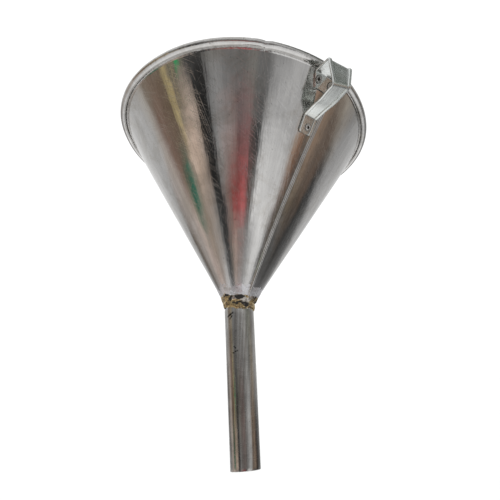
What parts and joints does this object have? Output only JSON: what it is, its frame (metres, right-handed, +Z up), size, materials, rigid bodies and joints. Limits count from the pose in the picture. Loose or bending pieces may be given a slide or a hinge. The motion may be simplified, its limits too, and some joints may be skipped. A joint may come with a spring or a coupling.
{
  "type": "funnel",
  "caption": "Sheet-metal funnel with a wired rim, a folded side seam, a riveted strap handle and a long brazed outlet spout.",
  "frame": {"origin": "the neck, where the axis of the cone and the axis of the spout cross, on the spout bore's axis", "axes": "+Z up along the cone's axis towards the mouth; +X towards the handle; the spout runs down and leans 4.5 degrees towards an azimuth of 61.2 degrees from +X"},
  "size_m": [0.2209, 0.21, 0.2869],
  "materials": {
    "tinplate": "bright tinplate, drawn grain and fine scratches, dulled with handling",
    "strap_metal": "bright tinplate, folded edges",
    "tube_metal": "dull drawn steel with long streaks",
    "wire_metal": "drawn steel wire",
    "rivet_metal": "dull tinned steel",
    "braze": "lumpy brass run with black flux residue"
  },
  "bodies": {
    "root": {"cone_shell": "tinplate", "rim_wire": "wire_metal", "handle_strap": "strap_metal", "handle_rivets": "rivet_metal", "spout_tube": "tube_metal", "braze_bead": "braze"}
  },
  "joints": []
}
